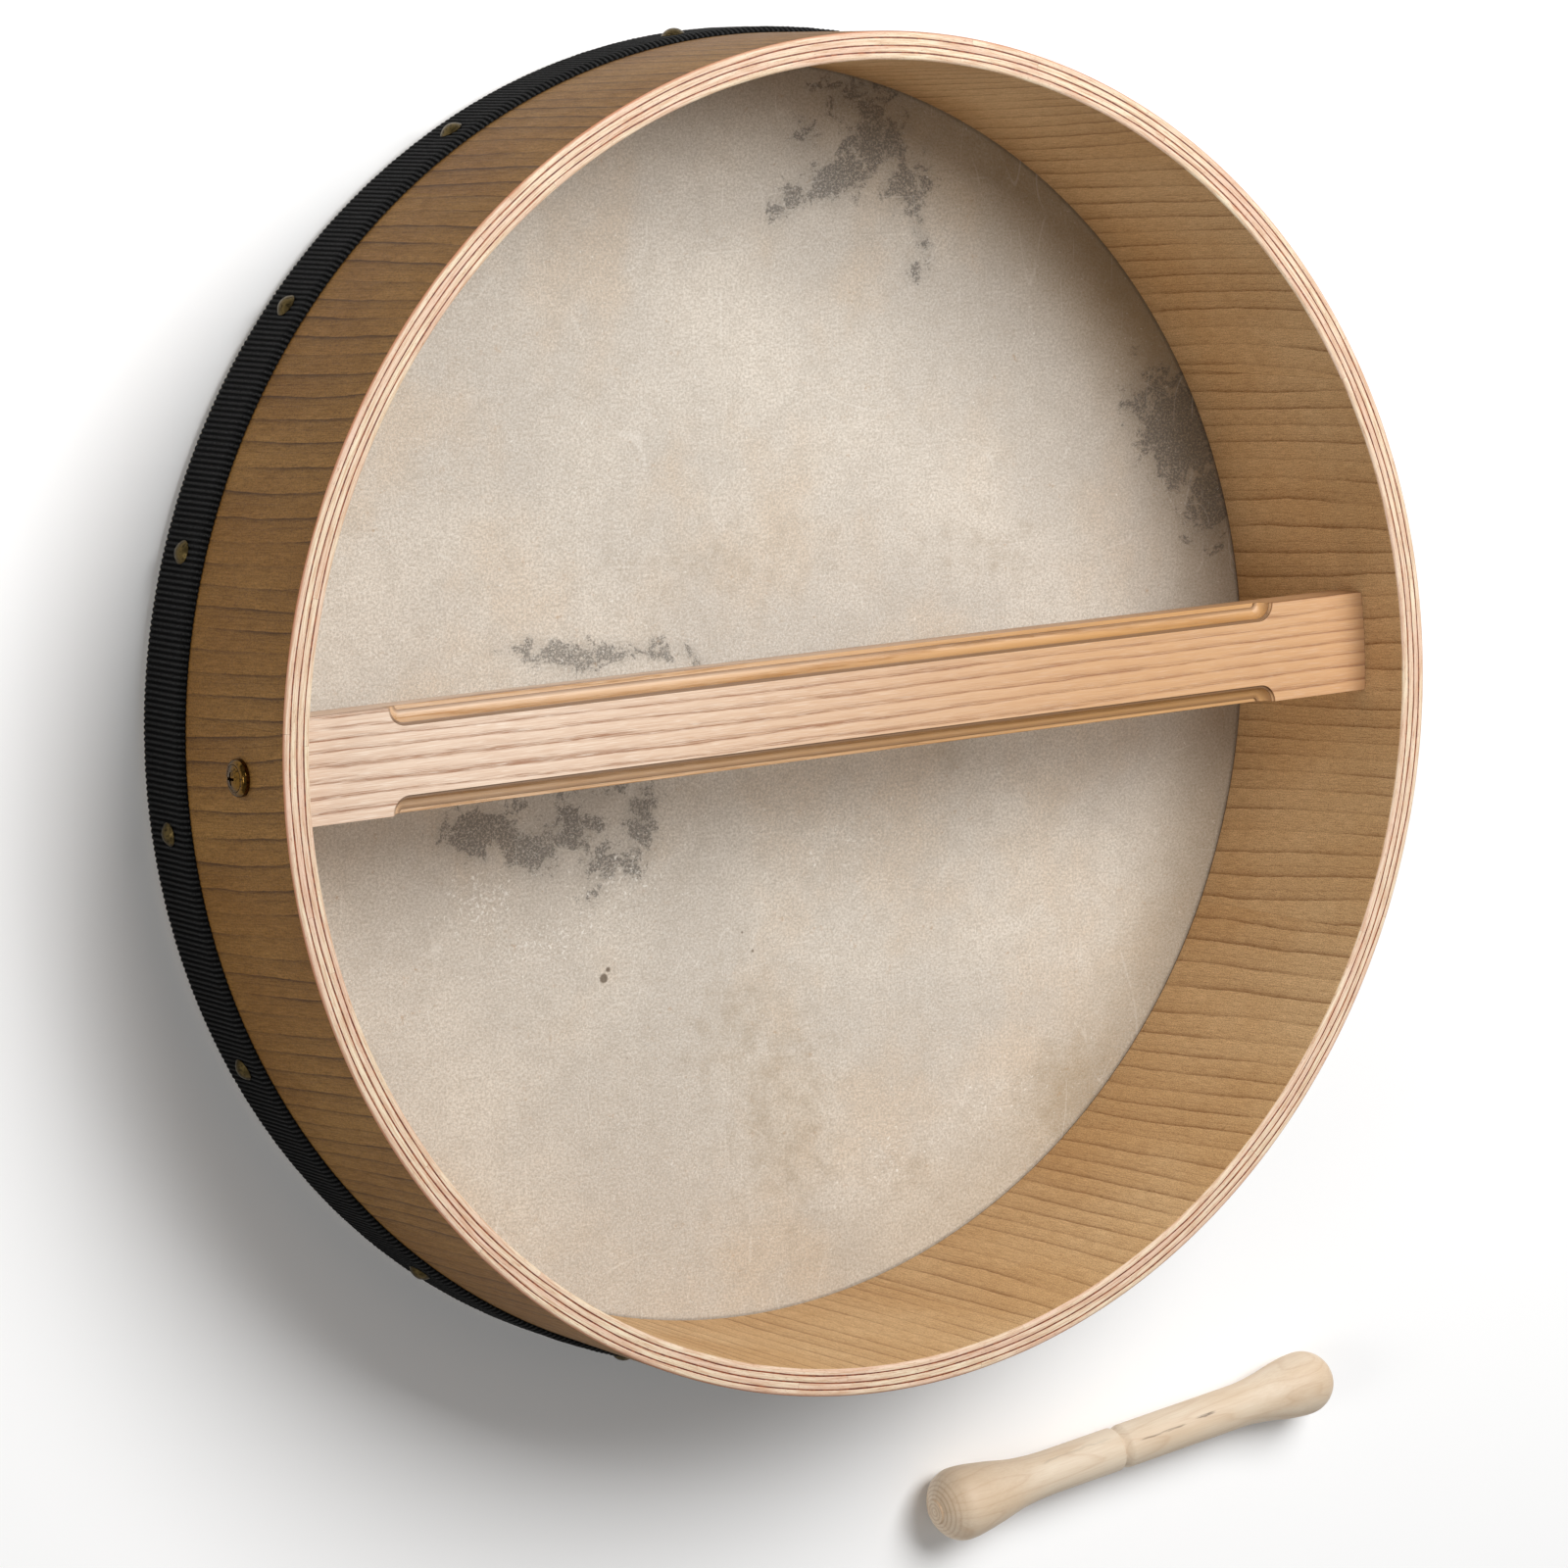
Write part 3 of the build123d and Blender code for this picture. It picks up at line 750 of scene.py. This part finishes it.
def tape_pull(arc, z):
    """How far the tape is pulled in at a place: at each tack, and over the collar's end."""
    pull = COLLAR_PULL * eased((z - COLLAR_TOP) / (TAPE_HIGH - COLLAR_TOP))
    near = min(abs((arc - math.radians(a) + math.pi) % (2 * math.pi) - math.pi) for a in TACK_ANGLES)
    away = math.hypot(near * SKIN_R, z - TACK_Z)
    return pull + TACK_PULL * math.exp(-((away / TACK_PULL_REACH) ** 2))


def tape_section(angle, column):
    """The webbing's closed section: a thick weft rib, or the dip between two ribs."""
    rise = RIB_SHAPE[column % len(RIB_SHAPE)]
    rib = column // len(RIB_SHAPE)
    high = TAPE_HIGH - TOP_DIP * (1 - rise)
    low = TAPE_LOW + BOTTOM_DIP * (1 - rise)
    section = []
    for row in range(TAPE_ROWS + 1):
        share = row / TAPE_ROWS
        z = low + (high - low) * share
        selvage = SELVAGE_DROP * (1 - eased(min(share, 1 - share) * 12))
        lift = RIB_H * rise * (1 + 0.25 * wander(rib * 0.37, z / (2.5 * MM), 4))
        r = SKIN_R + TAPE_T - RIB_H - selvage + lift - tape_pull(angle, z)
        section.append((r, z))
    for z in (high, low):
        section.append((SKIN_R + TAPE_CLEAR - COLLAR_PULL * (z > COLLAR_TOP), z))
    return section


def make_tape(material):
    """The webbing tape, once round the hoop over the hide's turned-up edge, to a seam."""
    columns = RIB_COUNT * len(RIB_SHAPE)
    seam = math.radians(TAPE_SEAM_ANGLE)
    whole = 2 * math.pi - SEAM_GAP / SKIN_R
    angles = [seam + whole * i / columns for i in range(columns + 1)]
    sections = [tape_section(angle, i) for i, angle in enumerate(angles)]
    points, faces = ring(angles, sections, closed=False)
    tape = piece("ribbed_tape", points, faces, "drum", ["edge_tape"], [material], sharp=70)
    grain = []
    for v in tape.data.vertices:
        angle = (math.atan2(v.co.y, v.co.x) - seam) % (2 * math.pi)
        grain.append((angle * SKIN_R / MM, v.co.z / MM, 0.0))
    per_vertex(tape, "grain", grain, "FLOAT_VECTOR")
    # 1 on the rib tops and 0 in the dips, where the webbing's material paints shade near black
    ribs = [0.5 - 0.5 * math.cos(g[0] * MM / SKIN_R * RIB_COUNT) for g in grain]
    per_vertex(tape, "rib", ribs)


def make_tacks(material):
    """Domed heads, each leaning a little differently, seated in the tape."""
    sphere_r = (TACK_HEAD_R**2 + TACK_HEAD_H**2) / (2 * TACK_HEAD_H)
    half_angle = math.asin(TACK_HEAD_R / sphere_r)
    heads = []
    profile = [(-TACK_SUNK, 0.0), (-TACK_SUNK, TACK_HEAD_R * 0.9)]
    profile += [(0.0, TACK_HEAD_R), (TACK_LIP / 2, TACK_HEAD_R)]
    for i in range(1, 9):
        t = half_angle * (1 - i / 8)
        height = TACK_HEAD_H - sphere_r * (1 - math.cos(t))
        profile.append((max(TACK_LIP / 2, height), sphere_r * math.sin(t)))
    for angle in TACK_ANGLES:
        matrix = wall_matrix(math.radians(angle), SKIN_R + TAPE_T - TACK_SEAT, TACK_Z)
        lean = Matrix.Rotation(random.uniform(-TACK_LEAN, TACK_LEAN), 4, "X")
        lean @= Matrix.Rotation(random.uniform(-TACK_LEAN, TACK_LEAN), 4, "Y")
        heads.append(lathe(profile, 36, matrix @ lean))
    points, faces = joined(heads)
    piece("tack_heads", points, faces, "drum", ["tacks"], [material])


# ---------------------------------------------------------------- crossbar

def moulding():
    """(distance in from the bar's side, depth below its face), from the face out to the side."""
    cove_from = MOULD_W - QUIRK_FLAT
    cove_to = cove_from - COVE_R
    profile = [(MOULD_W, 0.0), (MOULD_W, QUIRK_DEPTH)]
    for i in range(11):
        turn = math.radians(9 * i)
        profile.append((cove_to + COVE_R * math.cos(turn), QUIRK_DEPTH + COVE_R * math.sin(turn)))
    deepest = QUIRK_DEPTH + COVE_R + STEP_DEPTH
    return profile + [(cove_to, deepest), (0.0, deepest)]


def lane(distance, depth, side):
    """One line of the moulding, along the bar's edge and round through both run-outs."""
    edge = BAR_HIGH.y if side > 0 else BAR_LOW.y
    turns = [math.radians(90 * i / 12) for i in range(12, -1, -1)]
    end = [(MOULD_HALF_LEN + distance * math.sin(t), distance * math.cos(t)) for t in turns]
    path = [(-x, inward) for x, inward in end] + [(x, inward) for x, inward in reversed(end)]
    return [Vector((x, edge - side * inward, BAR_HIGH.z - depth)) for x, inward in path]


def bar_end(y):
    """Where the hoop's inner wall is at this place across the bar."""
    return math.sqrt(INNER_R**2 - y * y)


def make_crossbar(material):
    """The bar as its moulded edges, face, sides, rounded back and two ends, welded together."""
    lanes = {side: [lane(d, depth, side) for d, depth in moulding()] for side in (1, -1)}
    parts = []
    for side in (1, -1):
        rows = lanes[side]
        count = len(rows[0])
        faces = [
            (r * count + i, r * count + i + 1, (r + 1) * count + i + 1, (r + 1) * count + i)
            for r in range(len(rows) - 1)
            for i in range(count - 1)
        ]
        parts.append(([p for row in rows for p in row], faces))
    top, low, high = BAR_HIGH.z, BAR_LOW, BAR_HIGH
    across = [low.y + (high.y - low.y) * i / 10 for i in range(11)]
    right = [Vector((bar_end(y), y, top)) for y in reversed(across)]
    left = [Vector((-bar_end(y), y, top)) for y in across]
    face = lanes[1][0] + right + list(reversed(lanes[-1][0])) + left
    parts.append((face, [tuple(range(len(face)))]))
    back = [math.radians(90 * i / 4) for i in range(5)]
    for side in (1, -1):
        y = high.y if side > 0 else low.y
        outline = [Vector((-bar_end(y), y, top))]
        outline += [row[0] for row in lanes[side]] + [row[-1] for row in reversed(lanes[side])]
        outline += [Vector((bar_end(y), y, top)), Vector((bar_end(y), y, low.z + BACK_ROUND))]
        outline.append(Vector((-bar_end(y), y, low.z + BACK_ROUND)))
        parts.append((outline, [tuple(range(len(outline)))]))
    rails = [
        (high.y - BACK_ROUND + BACK_ROUND * math.cos(t), low.z + BACK_ROUND * (1 - math.sin(t)))
        for t in back
    ]
    rails += [(y, low.z) for y in reversed(across[1:-1])]
    rails += [
        (low.y + BACK_ROUND - BACK_ROUND * math.sin(t), low.z + BACK_ROUND * (1 - math.cos(t)))
        for t in back
    ]
    under = [Vector((x * bar_end(y), y, z)) for y, z in rails for x in (-1, 1)]
    parts.append((under, [(2 * i, 2 * i + 1, 2 * i + 3, 2 * i + 2) for i in range(len(rails) - 1)]))
    for x in (-1, 1):
        cap = [Vector((x * bar_end(y), y, top)) for y in across]
        cap += [Vector((x * bar_end(y), y, z)) for y, z in rails]
        parts.append((cap, [tuple(range(len(cap)))]))
    points, faces = joined(parts)
    bar = piece("grip_bar", points, faces, "drum", ["crossbar"], [material], sharp=30)
    soften_edges(bar, "arris", ARRIS, 40)


def bar_wood():
    """Straight-grained hardwood, its rings nearly on edge, paler and pinker at the -X end."""
    n = Nodes("bar_wood")
    place = n.object_mm()
    x, y, z = n.split(place)
    drift = n.noise(place, (0.0035, 0.05, 0.05), detail=1.0)
    wobble = n.noise(place, (0.030, 0.4, 0.4), detail=3.0, roughness=0.6)
    rings = n.math("MULTIPLY", n.math("ADD", y, n.math("MULTIPLY", z, 0.3)), 0.22)
    rings = n.math("ADD", rings, n.math("MULTIPLY", drift, 2.4))
    rings = n.math("FRACT", n.math("ADD", rings, n.math("MULTIPLY", wobble, 0.45)))
    line = n.ramp(rings, BAR_LINE)
    band = n.ramp(rings, BAR_BAND)
    patchy = n.step(n.noise(place, (0.012, 0.2, 0.2), detail=1.0), 0.3, 0.65, 0.45, 1.0)
    line = n.math("MULTIPLY", line, patchy)
    fibre = n.noise(place, (0.06, 2.6, 2.6), detail=4.0, roughness=0.7)
    dashes = n.step(n.noise(place, (0.055, 3.6, 3.6), detail=3.0, roughness=0.6), 0.48, 0.58)
    dashes = n.math("MULTIPLY", dashes, band)
    glints = n.step(n.noise(place, (0.12, 4.5, 4.5), detail=1.0, seed=9.0), 0.55, 0.70)
    colour = n.mix(n.step(x, -160.0, 130.0), srgb(230, 206, 184), srgb(208, 164, 120))
    colour = n.mix(n.step(fibre, 0.34, 0.72, 0.0, 0.36), colour, srgb(184, 134, 94))
    colour = n.mix(n.math("MULTIPLY", line, 0.70), colour, srgb(146, 94, 56))
    dashes_seen = n.math("MULTIPLY", dashes, n.step(x, -60.0, 190.0, 0.78, 0.36))
    colour = n.mix(dashes_seen, colour, srgb(150, 96, 60))
    glints = n.math("MULTIPLY", glints, n.step(x, -130.0, 60.0, 0.60, 0.15))
    colour = n.mix(glints, colour, srgb(242, 226, 208))
    above = n.math("SUBTRACT", z, BAR_HIGH.z / MM)
    below_face = n.math("MULTIPLY", n.step(above, -0.5, -0.1, 1.0, 0.0), n.step(above, -6.4, -5.2))
    moulded = n.math("MULTIPLY", below_face, n.step(n.math("ABSOLUTE", x), 176.0, 179.0, 1.0, 0.0))
    # The moulded edges are tinted golden brown, with painted shade lines in the quirk and at the step
    step_wall = n.math("MULTIPLY", n.step(above, -5.2, -5.0), n.step(above, -4.7, -4.3, 1.0, 0.0))
    quirk_shade = n.math("MULTIPLY", moulded, n.math("ADD", n.step(above, -1.3, -0.9), step_wall))
    colour = n.mix(n.math("MULTIPLY", moulded, 0.50), colour, srgb(190, 140, 72))
    colour = n.mix(n.math("MULTIPLY", quirk_shade, 0.70), colour, srgb(78, 46, 22))
    height = n.math("SUBTRACT", fibre, dashes)
    return n.finish(
        Base_Color=colour,
        Roughness=n.step(fibre, 0.2, 0.8, 0.34, 0.5),
        Normal=n.bump(height, 0.00007, 0.8),
        Coat_Weight=0.12,
        Coat_Roughness=0.3,
    )


# ---------------------------------------------------------------- tipper

def through(stops, per_span=8):
    """A smooth curve of (place, radius) through these stops, flat at both ends."""
    slopes = [0.0]
    for (s0, r0), (s2, r2) in zip(stops, stops[2:]):
        slopes.append((r2 - r0) / (s2 - s0))
    slopes.append(0.0)
    curve = []
    for (s0, r0), (s1, r1), m0, m1 in zip(stops, stops[1:], slopes, slopes[1:]):
        span = s1 - s0
        for i in range(per_span):
            t = i / per_span
            a, b, c = 2 * t**3 - 3 * t**2 + 1, t**3 - 2 * t**2 + t, t**3 - t**2
            radius = a * r0 + b * span * m0 + (1 - a) * r1 + c * span * m1
            curve.append((s0 + span * t, radius))
    return curve + [stops[-1]]


def tipper_profile():
    """(distance from the big end, radius) in millimetres."""
    profile = [(0.0, 0.0), (0.0, NOSE_FLAT_R * 0.5), (0.0, NOSE_FLAT_R)]
    for i in range(16, 0, -1):
        t = math.radians(NOSE_ARC * i / 16)
        profile.append((HEAD_BIG_S * (1 - math.sin(t)), HEAD_BIG_R * math.cos(t)))
    profile += through([(HEAD_BIG_S, HEAD_BIG_R)] + [(HEAD_BIG_S + s, r) for s, r in BIG_FLARE])
    for i in range(5):
        t = math.radians(90 * i / 4)
        eased_s = GROOVE_S + GROOVE_EASE * (math.sin(t) - 1)
        profile.append((eased_s, SHAFT_R - GROOVE_EASE * (1 - math.cos(t))))
    floor_s = GROOVE_S + GROOVE_WALL
    profile.append((floor_s, SHAFT_R - GROOVE_DEPTH))
    for i in range(1, 13):
        away = i / 12
        profile.append((floor_s + GROOVE_RISE * away, SHAFT_R - GROOVE_DEPTH * (1 - eased(away))))
    small_s = HEAD_BIG_S + HEAD_SPACING
    profile += through([(small_s - s, r) for s, r in SMALL_FLARE] + [(small_s, HEAD_SMALL_R)])
    for i in range(1, 15):
        t = math.radians(90 * i / 14)
        profile.append((small_s + HEAD_SMALL_CAP * math.sin(t), HEAD_SMALL_R * math.cos(t)))
    return profile


def make_tipper(material):
    """The tipper lies on the floor on both heads, so its axis drops towards the small one."""
    heading = Vector((math.cos(TIPPER_HEADING), math.sin(TIPPER_HEADING), 0))
    axis = heading * math.cos(TIPPER_DROP) - Vector((0, 0, math.sin(TIPPER_DROP)))
    side = axis.cross(Vector((0, 0, 1))).normalized()
    start = (TIPPER_AT - axis * HEAD_BIG_S) * MM
    turn = Matrix((side, side.cross(axis) * -1, axis)).transposed().to_4x4()
    place = Matrix.Translation(start) @ turn
    points, faces = lathe([(s * MM, r * MM) for s, r in tipper_profile()], 72, place)
    tipper = piece("turned_tipper", points, faces, "tipper", ["tipper"], [material])
    back = place.inverted()
    grain = []
    for v in tipper.data.vertices:
        local = back @ v.co / MM
        grain.append((local.x, local.z, local.y))
    per_vertex(tipper, "grain", grain, "FLOAT_VECTOR")


# ---------------------------------------------------------------- studio

def add_floor():
    """A plain pale floor, a hair below the drum."""
    bpy.ops.mesh.primitive_plane_add(size=12, location=(0, 0, -0.0004))
    floor = bpy.context.object
    floor.name = "floor"
    n = Nodes("floor_paper")
    floor.data.materials.append(n.finish(Base_Color=(0.95, 0.95, 0.95, 1), Roughness=0.9))


def add_softbox(name, turn, tilt, distance, size, power):
    """A square light that faces the drum, at this turn round it and tilt from overhead."""
    light = bpy.data.lights.new(name, "AREA")
    light.size = size
    light.energy = power
    lamp = bpy.data.objects.new(name, light)
    turn, tilt = math.radians(turn), math.radians(tilt)
    out = Vector((math.sin(tilt) * math.cos(turn), math.sin(tilt) * math.sin(turn), math.cos(tilt)))
    lamp.location = out * distance
    lamp.rotation_mode = "QUATERNION"
    lamp.rotation_quaternion = (-out).to_track_quat("-Z", "Y")
    bpy.context.scene.collection.objects.link(lamp)


def add_camera():
    """A long lens, to the -X side of the drum's axis, with +Y nearly up in the view."""
    target = Vector((18.49, -33.01, 0)) * MM
    distance = 2052.4 * MM
    tilt, turn, roll = (math.radians(angle) for angle in (33.52, 164.95, -2.33))
    back = Vector((math.sin(tilt) * math.cos(turn), math.sin(tilt) * math.sin(turn), math.cos(tilt)))
    right = Vector((0, 1, 0)).cross(back).normalized()
    axes = Matrix((right, back.cross(right), back)).transposed()
    camera = bpy.data.objects.new("camera", bpy.data.cameras.new("camera"))
    camera.data.lens = 134.67
    camera.data.sensor_width = 36
    camera.data.clip_end = 20
    turned = axes @ Matrix.Rotation(roll, 3, "Z")
    camera.matrix_world = Matrix.Translation(target + back * distance) @ turned.to_4x4()
    bpy.context.scene.collection.objects.link(camera)
    bpy.context.scene.camera = camera


def add_world():
    """Weak, even light from all round."""
    world = bpy.data.worlds.new("studio")
    world.use_nodes = True
    world.node_tree.nodes["Background"].inputs["Color"].default_value = (1, 0.99, 0.97, 1)
    world.node_tree.nodes["Background"].inputs["Strength"].default_value = 0.25
    bpy.context.scene.world = world
    bpy.context.scene.view_settings.view_transform = "Standard"


# ---------------------------------------------------------------- the whole

outer_veneer = sawn_wood(
    "outer_veneer", srgb(157, 115, 57), srgb(143, 100, 44), srgb(66, 40, 14), pitch=7.4, line=0.92
)
inner_veneer = sawn_wood(
    "inner_veneer", srgb(238, 203, 154), srgb(224, 184, 132), srgb(124, 80, 38), pitch=8.2, line=0.68
)
ply_edge = ply_edge_wood()
for ply_index, ply_name in enumerate(PLY_JOINTS):
    wall_veneer = inner_veneer if ply_name == "ply_inner" else outer_veneer
    make_ply(ply_index, ply_name, wall_veneer, ply_edge)
make_glue_lines(glue_resin())
make_skin(goat_hide())
make_tape(black_webbing())
make_tacks(brass("antique_brass", srgb(92, 78, 48), srgb(50, 42, 26), 0.16, 0.32, 0.5))
make_crossbar(bar_wood())
make_tipper(birch())
# Very dark brass: tarnish, and a painted dark reflection standing in for darker surroundings
screw_brass = brass("screw_brass", srgb(104, 76, 34), srgb(36, 28, 16), 0.15, 0.10, 0.20)
for node in ("bar_screws", "cup_washers"):
    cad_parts[node].data.materials.clear()
    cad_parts[node].data.materials.append(screw_brass)
    soften_edges(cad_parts[node], "worn_edges", WORN_EDGE, 35)

add_floor()
add_softbox("key", turn=60, tilt=31, distance=1.8, size=1.15, power=37)
add_softbox("fill", turn=185, tilt=64, distance=2.2, size=0.7, power=8)
add_camera()
add_world()
